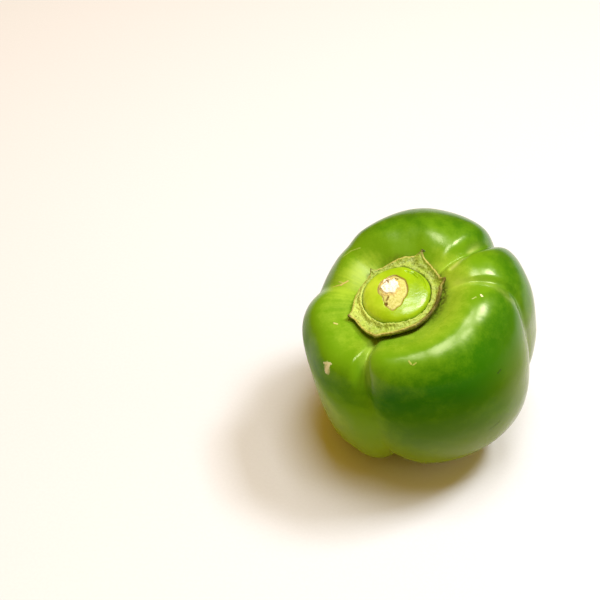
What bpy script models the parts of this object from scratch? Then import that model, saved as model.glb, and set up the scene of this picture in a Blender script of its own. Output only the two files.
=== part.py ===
"""A green bell pepper as picked: the lobed fruit, its calyx and the stub of its stem.

Lengths are in metres and azimuths in degrees. The pepper is drawn in its own frame first, with +Z
running up its axis to the stem and azimuths counted anticlockwise from +X as seen from the stem end.
It is then leaned over and set on the feet of its lobes, with the world's +Z up.
"""

import math
from collections import namedtuple

import bmesh
import bpy
from mathutils import Matrix, Vector

# How the pepper stands
LEAN_LEFT = 10.8
LEAN_FRONT = 6.2
CENTRE = Vector((0.0005, -0.0006, 0.0465))
FOOT_BLEND = 0.0003

# The fruit's lobes. crown and base are the exponents of the rounding above and below the widest ring,
# and seat is how far the floor that the calyx sits on reaches towards the lobe
Lobe = namedtuple("Lobe", "azimuth reach shoulder crown foot base seat")
LOBES = (
    Lobe(azimuth=13, reach=0.0423, shoulder=0.0358, crown=3.20, foot=0.0510, base=2.22, seat=0.0240),
    Lobe(azimuth=50, reach=0.0450, shoulder=0.0364, crown=2.90, foot=0.0544, base=2.35, seat=0.0260),
    Lobe(azimuth=75, reach=0.0462, shoulder=0.0372, crown=2.90, foot=0.0544, base=2.35, seat=0.0265),
    Lobe(azimuth=108, reach=0.0412, shoulder=0.0408, crown=2.70, foot=0.0535, base=2.35, seat=0.0262),
    Lobe(azimuth=142, reach=0.0398, shoulder=0.0356, crown=2.80, foot=0.0505, base=2.50, seat=0.0245),
    Lobe(azimuth=197, reach=0.0426, shoulder=0.0324, crown=4.50, foot=0.0452, base=4.60, seat=0.0250),
    Lobe(azimuth=226, reach=0.0440, shoulder=0.0302, crown=7.00, foot=0.0422, base=3.40, seat=0.0250),
    Lobe(azimuth=258, reach=0.0432, shoulder=0.0352, crown=4.80, foot=0.0524, base=2.10, seat=0.0230),
    Lobe(azimuth=290, reach=0.0430, shoulder=0.0350, crown=4.20, foot=0.0542, base=2.08, seat=0.0226),
    Lobe(azimuth=326, reach=0.0425, shoulder=0.0364, crown=2.80, foot=0.0516, base=2.38, seat=0.0235),
)
SHOULDER_AT_AXIS = 0.0360
FOOT_AT_AXIS = 0.0480

# The furrows between the lobes: each is a wide valley, and most have a narrow crease in it. before and after
# are the half widths clockwise and anticlockwise of its line, and top, side and foot are its depths as shares
# of the reach
Furrow = namedtuple("Furrow", "azimuth drift before after top side foot")
FURROWS = (
    Furrow(azimuth=34, drift=5, before=16, after=22, top=0.06, side=0.05, foot=0.14),
    Furrow(azimuth=34, drift=5, before=9, after=10, top=0.08, side=0.02, foot=0.02),
    Furrow(azimuth=124, drift=-2, before=20, after=24, top=0.04, side=0.005, foot=0.10),
    Furrow(azimuth=157, drift=2, before=25, after=25, top=0.13, side=0.025, foot=0.12),
    Furrow(azimuth=243, drift=2, before=13, after=17, top=0.04, side=0.04, foot=0.10),
    Furrow(azimuth=243, drift=2, before=11, after=12, top=0.07, side=0.01, foot=0.01),
    Furrow(azimuth=2, drift=-17, before=22, after=22, top=0.05, side=0.07, foot=0.09),
    Furrow(azimuth=2, drift=-17, before=9, after=8, top=0.02, side=0.01, foot=0.02),
)
DRIFT_SPAN = 0.7
FURROW_ROUNDING = 0.12
FURROW_LEVEL = 0.036
FURROW_START = 0.012
LOBES_START = 0.014

# The floor of the seat that the calyx sits in, and the dimple at the blossom end
SEAT = Vector((-0.0056, -0.0034, 0.0250))
SEAT_SHARPNESS = 6
DIMPLE_RADIUS = 0.0140
DIMPLE_DEPTH = 0.0070

FRUIT_SEGMENTS = 108
FRUIT_RINGS = 56

# The calyx: a thin bowl with a pointed tooth at each sepal's end. lift is how far the rim stands off the skin
Tooth = namedtuple("Tooth", "azimuth radius lift point")
TEETH = (
    Tooth(azimuth=9, radius=0.0166, lift=0.0008, point=0.0012),
    Tooth(azimuth=58, radius=0.0182, lift=0.0005, point=0.0014),
    Tooth(azimuth=122, radius=0.0151, lift=0.0008, point=0.0012),
    Tooth(azimuth=200, radius=0.0172, lift=0.0010, point=0.0012),
    Tooth(azimuth=246, radius=0.0194, lift=0.0014, point=0.0006),
    Tooth(azimuth=290, radius=0.0174, lift=0.0016, point=0.0000),
    Tooth(azimuth=329, radius=0.0160, lift=0.0016, point=0.0000),
)
TOOTH_HALF_ANGLE = 7.0
CALYX_GAP = 0.0004
CALYX_THICKNESS = 0.0020
RIM_THICKNESS = 0.0009
RIM_START = 0.83
CALYX_SEGMENTS = 96
CALYX_RINGS = 7

# The stem stub: a broad dome with the corky cut at its end
STEM_RADIUS = 0.0120
STEM_HEIGHT = 0.0060
STEM_FULLNESS = 2.4
STEM_EDGE = 0.0008
STEM_GAP = 0.0003
STEM_SEGMENTS = 56
STEM_RINGS = 16
STEM_UNDER_RINGS = 3
CUT_CENTRE = Vector((-0.0006, -0.0024))
CUT_HALF_WIDTH = 0.0050
CUT_HALF_LENGTH = 0.0068
CUT_DEPTH = 0.0005
PITH_CENTRE = Vector((-0.0016, 0.0012))
PITH_RADIUS = 0.0030
PITH_HEIGHT = 0.0012

FRUIT_GREEN = (0.100, 0.250, 0.008, 1.0)
CALYX_GREEN = (0.300, 0.440, 0.080, 1.0)
STEM_GREEN = (0.330, 0.500, 0.030, 1.0)


def smooth_step(share):
    """0 to 1 with level ends, for a share that is held between 0 and 1."""
    share = min(max(share, 0.0), 1.0)
    return share * share * (3 - 2 * share)


def turn_between(azimuth, other):
    """The signed turn from other to azimuth, from -180 to 180 degrees."""
    return (azimuth - other + 180) % 360 - 180


def around(azimuth, marks, read):
    """The value read from the marks at this azimuth, blended smoothly from each mark to the next."""
    ordered = sorted(marks, key=lambda mark: mark.azimuth)
    for first, second in zip(ordered, ordered[1:] + ordered[:1]):
        span = (second.azimuth - first.azimuth) % 360
        turn = (azimuth - first.azimuth) % 360
        if turn <= span:
            share = smooth_step(turn / span)
            return read(first) * (1 - share) + read(second) * share
    return read(ordered[0])


def plain_reach(direction, azimuth, off_axis):
    """How far the fruit would reach along a direction without furrows and hollows."""
    reach = around(azimuth, LOBES, lambda lobe: lobe.reach)
    lobed = smooth_step(off_axis / LOBES_START)
    if direction.z > 0:
        fullness = around(azimuth, LOBES, lambda lobe: lobe.crown)
        height = around(azimuth, LOBES, lambda lobe: lobe.shoulder) - SHOULDER_AT_AXIS
        height = SHOULDER_AT_AXIS + height * lobed
    else:
        fullness = around(azimuth, LOBES, lambda lobe: lobe.base)
        height = around(azimuth, LOBES, lambda lobe: lobe.foot) - FOOT_AT_AXIS
        height = FOOT_AT_AXIS + height * lobed
    across = math.hypot(direction.x, direction.y)
    total = (across / reach) ** fullness + (abs(direction.z) / height) ** fullness
    return total ** (-1 / fullness)


def furrow_share(azimuth, level):
    """The share of the reach that the furrows take away. level is 1 at the shoulder and -1 at the foot."""
    taken = 0.0
    for furrow in FURROWS:
        line = furrow.azimuth + furrow.drift * smooth_step((1 - level) / DRIFT_SPAN)
        turn = turn_between(azimuth, line)
        turn /= furrow.before if turn < 0 else furrow.after
        end = furrow.top if level > 0 else furrow.foot
        depth = furrow.side + (end - furrow.side) * level * level
        away = math.hypot(turn, FURROW_ROUNDING) - FURROW_ROUNDING
        taken += depth * max(0.0, 1 - away) ** 2
    return taken


def fruit_reach(direction, furrowed=True):
    """How far the skin is from the fruit's centre along a direction."""
    azimuth = math.degrees(math.atan2(direction.y, direction.x))
    across = SHOULDER_AT_AXIS * math.hypot(direction.x, direction.y)
    point = direction * plain_reach(direction, azimuth, across)
    bend = min(max(point.z / SHOULDER_AT_AXIS, 0.0), 1.1) ** 2 * SHOULDER_AT_AXIS / SEAT.z
    x = point.x - SEAT.x * bend
    y = point.y - SEAT.y * bend
    azimuth = math.degrees(math.atan2(y, x))
    off_axis = math.hypot(x, y)
    reach = plain_reach(direction, azimuth, off_axis)
    if furrowed:
        level = min(max(point.z / FURROW_LEVEL, -1.0), 1.0)
        start = min(off_axis / FURROW_START, 1.0)
        reach *= 1 - furrow_share(azimuth, level) * start
    if direction.z > 0:
        seat_radius = around(azimuth, LOBES, lambda lobe: lobe.seat)
        seated = math.exp(-((off_axis / seat_radius) ** SEAT_SHARPNESS))
        return reach + (SEAT.z / max(direction.z, 0.3) - reach) * seated
    return reach - DIMPLE_DEPTH * math.exp(-((off_axis / DIMPLE_RADIUS) ** 2))


def pepper_matrix():
    """The turn and the move from the pepper's own frame to the world."""
    to_front = Matrix.Rotation(math.radians(LEAN_FRONT), 4, "X")
    to_left = Matrix.Rotation(math.radians(-LEAN_LEFT), 4, "Y")
    return Matrix.Translation(CENTRE) @ to_front @ to_left


def set_on_floor(point, matrix, inverse):
    """Presses a point of the fruit that would go under the floor flat onto it."""
    placed = matrix @ point
    if placed.z < -FOOT_BLEND:
        placed.z = 0.0
    elif placed.z < FOOT_BLEND:
        placed.z = (placed.z + FOOT_BLEND) ** 2 / (4 * FOOT_BLEND)
    return inverse @ placed


def skin_height(x, y):
    """The height of the fruit's skin, without its furrows, over a point near the stem end."""
    low, high = 0.010, 0.050
    for _ in range(22):
        middle = (low + high) / 2
        point = Vector((x, y, middle))
        if point.length < fruit_reach(point.normalized(), furrowed=False):
            low = middle
        else:
            high = middle
    return (low + high) / 2


def calyx_edge(azimuth):
    """The radius of the calyx's edge: straight between neighbouring teeth, with a point on each."""
    ordered = sorted(TEETH, key=lambda tooth: tooth.azimuth)
    for first, second in zip(ordered, ordered[1:] + ordered[:1]):
        span = math.radians((second.azimuth - first.azimuth) % 360)
        turn = math.radians((azimuth - first.azimuth) % 360)
        if turn <= span:
            break
    across = first.radius * math.sin(turn) + second.radius * math.sin(span - turn)
    straight = first.radius * second.radius * math.sin(span) / across
    bowed = around(azimuth, TEETH, lambda tooth: tooth.radius)
    radius = (straight + bowed) / 2
    for tooth in TEETH:
        near = 1 - abs(turn_between(azimuth, tooth.azimuth)) / TOOTH_HALF_ANGLE
        radius += tooth.point * max(0.0, near) ** 1.5
    return radius


def rim_share(share):
    """0 inside the calyx's bowl, rising to 1 at the very edge of its rim."""
    return smooth_step((share - RIM_START) / (1 - RIM_START))


def calyx_under(share, azimuth):
    """The underside of the calyx, share of the way from its middle to its edge."""
    radius = calyx_edge(azimuth) * share
    x = SEAT.x + radius * math.cos(math.radians(azimuth))
    y = SEAT.y + radius * math.sin(math.radians(azimuth))
    lift = around(azimuth, TEETH, lambda tooth: tooth.lift) * rim_share(share)
    return Vector((x, y, skin_height(x, y) + CALYX_GAP + lift))


def calyx_top(share, azimuth):
    """The upper side of the calyx, which thins towards the rim."""
    thickness = CALYX_THICKNESS + (RIM_THICKNESS - CALYX_THICKNESS) * rim_share(share)
    return calyx_under(share, azimuth) + Vector((0, 0, thickness))


def stem_under(share, azimuth):
    """The underside of the stem, just above the calyx that it grew through."""
    radius = STEM_RADIUS * share
    x = SEAT.x + radius * math.cos(math.radians(azimuth))
    y = SEAT.y + radius * math.sin(math.radians(azimuth))
    return Vector((x, y, skin_height(x, y) + CALYX_GAP + CALYX_THICKNESS + STEM_GAP))


def stem_top(share, azimuth):
    """The dome over the underside, with the cut sunk into its end and the pith standing in the cut."""
    under = stem_under(share, azimuth)
    rise = STEM_EDGE + (STEM_HEIGHT - STEM_EDGE) * (1 - share ** STEM_FULLNESS) ** (1 / STEM_FULLNESS)
    x = under.x - SEAT.x
    y = under.y - SEAT.y
    off_cut = math.hypot((x - CUT_CENTRE.x) / CUT_HALF_WIDTH, (y - CUT_CENTRE.y) / CUT_HALF_LENGTH)
    rise -= CUT_DEPTH * smooth_step((1.08 - off_cut) / 0.16)
    off_pith = math.hypot(x - PITH_CENTRE.x, y - PITH_CENTRE.y) / PITH_RADIUS
    rise += PITH_HEIGHT * smooth_step((1.2 - off_pith) / 0.5)
    return under + Vector((0, 0, rise))


def new_material(name, colour, roughness):
    """A Principled material in one colour."""
    material = bpy.data.materials.new(name)
    material.use_nodes = True
    shader = material.node_tree.nodes["Principled BSDF"]
    shader.inputs["Base Color"].default_value = colour
    shader.inputs["Roughness"].default_value = roughness
    shader.inputs["Metallic"].default_value = 0.0
    material.diffuse_color = colour
    return material


def finish_piece(name, mesh_builder, material, axis_frame, collection):
    """Turns a finished bmesh into a smooth-shaded object that hangs from the pepper's axis frame."""
    bmesh.ops.recalc_face_normals(mesh_builder, faces=mesh_builder.faces)
    mesh = bpy.data.meshes.new(name)
    mesh_builder.to_mesh(mesh)
    mesh_builder.free()
    mesh.materials.append(material)
    mesh.shade_smooth()
    piece = bpy.data.objects.new(name, mesh)
    piece.parent = axis_frame
    collection.objects.link(piece)
    return piece


def ring_share(ring, count):
    """How far out a ring is, as a share of the radius. The rings crowd together towards the edge."""
    return math.sin(math.pi / 2 * ring / count)


def spun_lens(count_out, count_back, segments):
    """A closed lens of unit radius: rings out along the top, at height 1, and back along the underside."""
    builder = bmesh.new()
    outward = [(ring_share(ring, count_out), 0, 1) for ring in range(count_out + 1)]
    homeward = [(ring_share(ring, count_back), 0, 0) for ring in range(count_back, -1, -1)]
    line = [builder.verts.new(place) for place in outward + homeward]
    edges = [builder.edges.new(pair) for pair in zip(line, line[1:])]
    bmesh.ops.spin(
        builder,
        geom=line + edges,
        cent=(0, 0, 0),
        axis=(0, 0, 1),
        angle=math.tau,
        steps=segments,
        use_merge=True,
    )
    bmesh.ops.remove_doubles(builder, verts=builder.verts, dist=1e-5)
    return builder


def shape_lens(builder, top, under):
    """Moves each vertex of a lens to its place on the top or the underside."""
    for vert in builder.verts:
        share = min(math.hypot(vert.co.x, vert.co.y), 1.0)
        azimuth = math.degrees(math.atan2(vert.co.y, vert.co.x))
        place = top if vert.co.z > 0.5 else under
        vert.co = place(share, azimuth)


def build_fruit(axis_frame, collection):
    """The fruit: a sphere of directions, each drawn out to the skin, with its feet set on the floor."""
    builder = bmesh.new()
    bmesh.ops.create_uvsphere(builder, u_segments=FRUIT_SEGMENTS, v_segments=FRUIT_RINGS, radius=1.0)
    matrix = pepper_matrix()
    inverse = matrix.inverted()
    for vert in builder.verts:
        direction = vert.co.normalized()
        vert.co = set_on_floor(direction * fruit_reach(direction), matrix, inverse)
    material = new_material("pepper_skin", FRUIT_GREEN, 0.25)
    return finish_piece("fruit", builder, material, axis_frame, collection)


def build_calyx(axis_frame, collection):
    """The calyx: a toothed bowl that follows the seat it grew in."""
    builder = spun_lens(CALYX_RINGS, CALYX_RINGS - 1, CALYX_SEGMENTS)
    shape_lens(builder, calyx_top, calyx_under)
    material = new_material("calyx_green", CALYX_GREEN, 0.55)
    return finish_piece("calyx", builder, material, axis_frame, collection)


def build_stem(axis_frame, collection):
    """The stem stub: a dome that stands on the calyx."""
    builder = spun_lens(STEM_RINGS, STEM_UNDER_RINGS, STEM_SEGMENTS)
    shape_lens(builder, stem_top, stem_under)
    material = new_material("stem_green", STEM_GREEN, 0.4)
    return finish_piece("stem", builder, material, axis_frame, collection)


def clear_scene():
    """Empties the scene that the script starts in."""
    for thing in list(bpy.data.objects):
        bpy.data.objects.remove(thing)


def build_pepper():
    """The whole pepper, on an empty that carries its lean."""
    clear_scene()
    collection = bpy.data.collections.new("bell_pepper")
    bpy.context.scene.collection.children.link(collection)
    axis_frame = bpy.data.objects.new("pepper_axis", None)
    axis_frame.matrix_world = pepper_matrix()
    collection.objects.link(axis_frame)
    build_fruit(axis_frame, collection)
    build_calyx(axis_frame, collection)
    build_stem(axis_frame, collection)


build_pepper()
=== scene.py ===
"""A whole green bell pepper in a plain studio: lobed skin, toothed calyx and the cut stub of its stem.

Lengths are in metres and azimuths in degrees, counted anticlockwise from +X as seen from the stem end. The
pepper is drawn in its own frame, with +Z up its axis, and then leaned over into the world's frame. Pixels are
places in the photograph's 600 by 600 frame, and each one is carried onto the skin by a ray from the camera.
"""

import logging
import math
from dataclasses import dataclass, field
from enum import Enum

import bmesh
import bpy
import numpy as np
from mathutils import Matrix, Vector, noise
from mathutils.bvhtree import BVHTree


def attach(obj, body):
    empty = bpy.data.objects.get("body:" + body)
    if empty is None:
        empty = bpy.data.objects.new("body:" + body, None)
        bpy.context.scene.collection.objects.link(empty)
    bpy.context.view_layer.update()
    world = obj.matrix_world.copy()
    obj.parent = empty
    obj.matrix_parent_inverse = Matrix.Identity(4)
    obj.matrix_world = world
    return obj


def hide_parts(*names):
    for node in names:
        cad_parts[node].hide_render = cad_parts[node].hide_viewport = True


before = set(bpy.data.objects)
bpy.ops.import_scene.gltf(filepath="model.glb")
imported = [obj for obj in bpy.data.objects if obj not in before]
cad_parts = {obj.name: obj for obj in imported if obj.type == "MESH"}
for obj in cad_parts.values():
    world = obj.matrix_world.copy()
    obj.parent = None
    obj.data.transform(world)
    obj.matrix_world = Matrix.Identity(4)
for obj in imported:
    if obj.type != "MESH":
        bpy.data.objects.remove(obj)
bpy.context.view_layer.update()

LOG = logging.getLogger("bell_pepper")

Colour = tuple[float, float, float]
Pixel = tuple[float, float]


class Body(Enum):
    """The bodies that pieces ride on."""

    ROOT = "root"


class Slot(Enum):
    """The record's material slots."""

    SKIN = "pepper_skin"
    CALYX = "calyx_green"
    STEM = "stem_green"


class Node(Enum):
    """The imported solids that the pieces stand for."""

    FRUIT = "fruit"
    CALYX = "calyx"
    STEM = "stem"


def smooth_step(share: np.ndarray) -> np.ndarray:
    """0 to 1 with level ends.

    Args:
        share: the position between the two ends; it is held between 0 and 1.

    Returns:
        The eased share.
    """
    share = np.clip(share, 0.0, 1.0)
    return share * share * (3 - 2 * share)


def turn_between(azimuth: np.ndarray, other: float) -> np.ndarray:
    """The signed turn from one azimuth to another.

    Args:
        azimuth: where the turn ends, in degrees.
        other: where the turn starts.

    Returns:
        The turn, from -180 to 180 degrees.
    """
    return (azimuth - other + 180) % 360 - 180


def bell(gap: np.ndarray, width: float) -> np.ndarray:
    """A bump of height 1 round a gap of 0, down to about a third at its width."""
    return np.exp(-((gap / width) ** 2))


@dataclass(frozen=True)
class Ramp:
    """A stretch along which a share eases from 0 at its start to 1 at its end, which may be the lower one."""

    start: float
    end: float

    def share(self, value: np.ndarray) -> np.ndarray:
        """The share at each value."""
        return smooth_step((value - self.start) / (self.end - self.start))


@dataclass(frozen=True)
class Side:
    """A side of the pepper round an azimuth. A fullness above 1 widens the part that is wholly in it."""

    azimuth: float
    reach: float
    fullness: float = 1.0

    def share(self, azimuth: np.ndarray) -> np.ndarray:
        """How far each azimuth is in this side, from 0 to 1."""
        return smooth_step(self.fullness - np.abs(turn_between(azimuth, self.azimuth)) / self.reach)


def around(azimuth: np.ndarray, marks: list[float], values: list[float]) -> np.ndarray:
    """A value blended smoothly round the azimuth from each mark to the next.

    Args:
        azimuth: where the value is wanted, in degrees.
        marks: the azimuths of the marks.
        values: the value at each mark.

    Returns:
        The blended value at each azimuth.
    """
    order = np.argsort(marks)
    sorted_marks = np.asarray(marks, float)[order]
    sorted_values = np.asarray(values, float)[order]
    count = len(sorted_marks)
    first = (np.searchsorted(sorted_marks, azimuth % 360, side="right") - 1) % count
    second = (first + 1) % count
    span = (sorted_marks[second] - sorted_marks[first]) % 360
    turn = (azimuth - sorted_marks[first]) % 360
    share = smooth_step(turn / span)
    return sorted_values[first] * (1 - share) + sorted_values[second] * share


def lumps(points: np.ndarray, spacing: float, seed: float, depth: int = 2) -> np.ndarray:
    """Smooth random lumps over a set of points.

    Args:
        points: the places, one row each.
        spacing: the distance between neighbouring lumps.
        seed: an offset that gives each use its own pattern.
        depth: how many finer layers are added.

    Returns:
        A height of about -1 to 1 for each point.
    """
    shifted = points / spacing + np.array([seed, seed * 1.7, seed * 2.3])
    return np.array([noise.fractal(Vector(place), 1.0, 2.0, depth) for place in shifted])


def line_distance(points: np.ndarray, path: np.ndarray) -> tuple[np.ndarray, np.ndarray]:
    """How far points are from a path of straight stretches.

    Args:
        points: the places, one row each.
        path: the path's corners, one row each.

    Returns:
        The distance to the path, and how far along it the nearest place is, from 0 to 1.
    """
    best = np.full(len(points), 1e9)
    along = np.zeros(len(points))
    stretches = len(path) - 1
    for index in range(stretches):
        start = path[index]
        way = path[index + 1] - start
        share = np.clip((points - start) @ way / max(way @ way, 1e-12), 0.0, 1.0)
        gap = np.linalg.norm(points - start - share[:, None] * way, axis=1)
        nearer = gap < best
        best = np.where(nearer, gap, best)
        along = np.where(nearer, (index + share) / stretches, along)
    return best, along


@dataclass(frozen=True)
class PhotoView:
    """The camera that took the photograph, as far as its view tells."""

    lens: float = 70.0
    sensor: float = 36.0
    frame_pixels: int = 600
    look_down: float = 45.0
    distance: float = 0.430
    subject: tuple[float, float, float] = (0.0005, -0.0006, 0.0465)
    subject_pixel: Pixel = (421.0, 336.0)

    def pixels_per_slope(self) -> float:
        """How many pixels a slope of 1 spans."""
        return self.frame_pixels * self.lens / self.sensor

    def axes(self) -> tuple[Vector, Vector, Vector]:
        """The camera's right, up and back directions in the world."""
        sine = math.sin(math.radians(self.look_down))
        cosine = math.cos(math.radians(self.look_down))
        return Vector((1, 0, 0)), Vector((0, sine, cosine)), Vector((0, -cosine, sine))

    def slopes(self, pixel: Pixel) -> tuple[float, float]:
        """A pixel's offsets to the right and up, at a depth of 1."""
        half = self.frame_pixels / 2
        return (pixel[0] - half) / self.pixels_per_slope(), (half - pixel[1]) / self.pixels_per_slope()

    def position(self) -> Vector:
        """Where the camera stands, so that the subject falls on its pixel."""
        right, up, back = self.axes()
        across, rise = self.slopes(self.subject_pixel)
        return Vector(self.subject) + self.distance * (back - across * right - rise * up)

    def cast(self, tree: BVHTree, pixel: Pixel) -> Vector:
        """Carries a pixel onto a surface.

        Args:
            tree: the surface.
            pixel: the place in the photograph.

        Returns:
            The world point that shows at the pixel, or the nearest one to its ray.
        """
        right, up, back = self.axes()
        across, rise = self.slopes(pixel)
        way = (across * right + rise * up - back).normalized()
        place = tree.ray_cast(self.position(), way)[0]
        if place is None:
            place = tree.find_nearest(self.position() + way * self.distance)[0]
        return place

    def add_camera(self) -> None:
        """Makes the camera."""
        lens = bpy.data.cameras.new("photo_view")
        lens.lens = self.lens
        lens.sensor_width = self.sensor
        lens.clip_start = 0.01
        camera = bpy.data.objects.new("photo_view", lens)
        camera.location = self.position()
        camera.rotation_euler = (math.radians(90 - self.look_down), 0, 0)
        bpy.context.scene.collection.objects.link(camera)
        bpy.context.scene.camera = camera


@dataclass(frozen=True)
class Stance:
    """How the pepper leans, and where its middle is."""

    lean_left: float = 10.8
    lean_front: float = 6.2
    centre: tuple[float, float, float] = (0.0005, -0.0006, 0.0465)
    foot_blend: float = 0.0003

    def turn(self) -> np.ndarray:
        """The turn from the pepper's own frame to the world's."""
        front = Matrix.Rotation(math.radians(self.lean_front), 3, "X")
        left = Matrix.Rotation(math.radians(-self.lean_left), 3, "Y")
        return np.array(front @ left)

    def to_world(self, points: np.ndarray) -> np.ndarray:
        """Moves points from the pepper's own frame into the world."""
        return points @ self.turn().T + np.array(self.centre)

    def on_floor(self, placed: np.ndarray) -> np.ndarray:
        """Presses world points that would go under the floor flat onto it."""
        height = placed[:, 2]
        blended = (height + self.foot_blend) ** 2 / (4 * self.foot_blend)
        height = np.where(height < -self.foot_blend, 0.0, np.where(height < self.foot_blend, blended, height))
        return np.column_stack([placed[:, 0], placed[:, 1], height])


@dataclass(frozen=True)
class Lobe:
    """One lobe of the fruit. crown and base are the exponents of its rounding above and below."""

    azimuth: float
    reach: float
    shoulder: float
    crown: float
    foot: float
    base: float
    seat: float


@dataclass(frozen=True)
class Furrow:
    """A furrow between lobes: before and after are half widths, and the last three shares of the reach."""

    azimuth: float
    drift: float
    before: float
    after: float
    top: float
    side: float
    foot: float


@dataclass(frozen=True)
class Crease:
    """A narrow line pressed into the skin, with the paler tissue that shows along it."""

    path: tuple[Pixel, ...]
    half_width: float
    depth: float
    pale: float
    pale_width: float


@dataclass(frozen=True)
class Swelling:
    """A broad, soft rise of the skin round one place, or a hollow if its height is below 0."""

    pixel: Pixel
    radius: float
    height: float


@dataclass(frozen=True)
class FruitForm:
    """The outer form of the fruit, as a distance from its middle in every direction."""

    lobes: tuple[Lobe, ...] = (
        Lobe(azimuth=13, reach=0.0423, shoulder=0.0358, crown=3.20, foot=0.0510, base=2.22, seat=0.0240),
        Lobe(azimuth=50, reach=0.0450, shoulder=0.0364, crown=2.90, foot=0.0544, base=2.35, seat=0.0260),
        Lobe(azimuth=75, reach=0.0462, shoulder=0.0372, crown=2.90, foot=0.0544, base=2.35, seat=0.0265),
        Lobe(azimuth=108, reach=0.0412, shoulder=0.0408, crown=2.70, foot=0.0535, base=2.35, seat=0.0262),
        Lobe(azimuth=142, reach=0.0398, shoulder=0.0356, crown=2.80, foot=0.0505, base=2.50, seat=0.0245),
        Lobe(azimuth=197, reach=0.0426, shoulder=0.0324, crown=4.50, foot=0.0452, base=4.60, seat=0.0250),
        Lobe(azimuth=226, reach=0.0440, shoulder=0.0302, crown=7.00, foot=0.0422, base=3.40, seat=0.0250),
        Lobe(azimuth=258, reach=0.0432, shoulder=0.0352, crown=4.80, foot=0.0524, base=2.10, seat=0.0230),
        Lobe(azimuth=290, reach=0.0430, shoulder=0.0350, crown=4.20, foot=0.0542, base=2.08, seat=0.0226),
        Lobe(azimuth=326, reach=0.0425, shoulder=0.0364, crown=2.80, foot=0.0516, base=2.38, seat=0.0235),
    )
    furrows: tuple[Furrow, ...] = (
        Furrow(azimuth=31, drift=8, before=16, after=22, top=0.06, side=0.05, foot=0.14),
        Furrow(azimuth=31, drift=8, before=8, after=9, top=0.09, side=0.02, foot=0.02),
        Furrow(azimuth=124, drift=-2, before=20, after=24, top=0.04, side=0.005, foot=0.10),
        Furrow(azimuth=157, drift=2, before=25, after=25, top=0.13, side=0.025, foot=0.12),
        Furrow(azimuth=243, drift=2, before=13, after=17, top=0.04, side=0.04, foot=0.10),
        Furrow(azimuth=243, drift=2, before=6, after=7, top=0.10, side=0.004, foot=0.0),
        Furrow(azimuth=2, drift=-17, before=22, after=22, top=0.05, side=0.07, foot=0.09),
        Furrow(azimuth=2, drift=-17, before=9, after=4, top=0.02, side=0.015, foot=0.02),
    )
    shoulder_at_axis: float = 0.0360
    foot_at_axis: float = 0.0480
    furrow_rounding: float = 0.12
    furrow_level: float = 0.036
    drift_span: float = 0.7
    furrow_start: float = 0.012
    lobes_start: float = 0.014
    seat: tuple[float, float, float] = (-0.0056, -0.0034, 0.0250)
    seat_sharpness: float = 6.0
    dimple_radius: float = 0.0140
    dimple_depth: float = 0.0070

    def lobe_value(self, azimuth: np.ndarray, name: str) -> np.ndarray:
        """One of the lobes' sizes, blended round the azimuth."""
        marks = [lobe.azimuth for lobe in self.lobes]
        return around(azimuth, marks, [getattr(lobe, name) for lobe in self.lobes])

    def plain_reach(self, directions: np.ndarray, azimuth: np.ndarray, off_axis: np.ndarray) -> np.ndarray:
        """How far the fruit would reach without furrows and hollows.

        Args:
            directions: unit directions from the fruit's middle.
            azimuth: the azimuth that each direction's lobes are read at.
            off_axis: how far each place is from the bent axis.

        Returns:
            The distance to the skin along each direction.
        """
        above = directions[:, 2] > 0
        lobed = smooth_step(off_axis / self.lobes_start)
        at_axis = np.where(above, self.shoulder_at_axis, self.foot_at_axis)
        at_lobes = np.where(above, self.lobe_value(azimuth, "shoulder"), self.lobe_value(azimuth, "foot"))
        height = at_axis + (at_lobes - at_axis) * lobed
        fullness = np.where(above, self.lobe_value(azimuth, "crown"), self.lobe_value(azimuth, "base"))
        across = np.hypot(directions[:, 0], directions[:, 1])
        total = (across / self.lobe_value(azimuth, "reach")) ** fullness
        total += (np.abs(directions[:, 2]) / height) ** fullness
        return total ** (-1 / fullness)

    def furrow_share(self, azimuth: np.ndarray, level: np.ndarray) -> np.ndarray:
        """The share of the reach that the furrows take away.

        Args:
            azimuth: the azimuth round the bent axis.
            level: 1 at the shoulder, -1 at the foot.

        Returns:
            The share at each place.
        """
        taken = np.zeros(len(azimuth))
        for furrow in self.furrows:
            line = furrow.azimuth + furrow.drift * smooth_step((1 - level) / self.drift_span)
            turn = turn_between(azimuth, line)
            turn = turn / np.where(turn < 0, furrow.before, furrow.after)
            end = np.where(level > 0, furrow.top, furrow.foot)
            depth = furrow.side + (end - furrow.side) * level * level
            away = np.hypot(turn, self.furrow_rounding) - self.furrow_rounding
            taken += depth * np.maximum(0.0, 1 - away) ** 2
        return taken

    def bent(self, points: np.ndarray) -> tuple[np.ndarray, np.ndarray]:
        """The azimuth and the distance of points from the axis, which bends over to the seat.

        Args:
            points: places in the pepper's own frame.

        Returns:
            The azimuths in degrees and the distances.
        """
        bend = np.clip(points[:, 2] / self.shoulder_at_axis, 0.0, 1.1) ** 2
        bend = bend * self.shoulder_at_axis / self.seat[2]
        x = points[:, 0] - self.seat[0] * bend
        y = points[:, 1] - self.seat[1] * bend
        return np.degrees(np.arctan2(y, x)), np.hypot(x, y)

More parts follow.
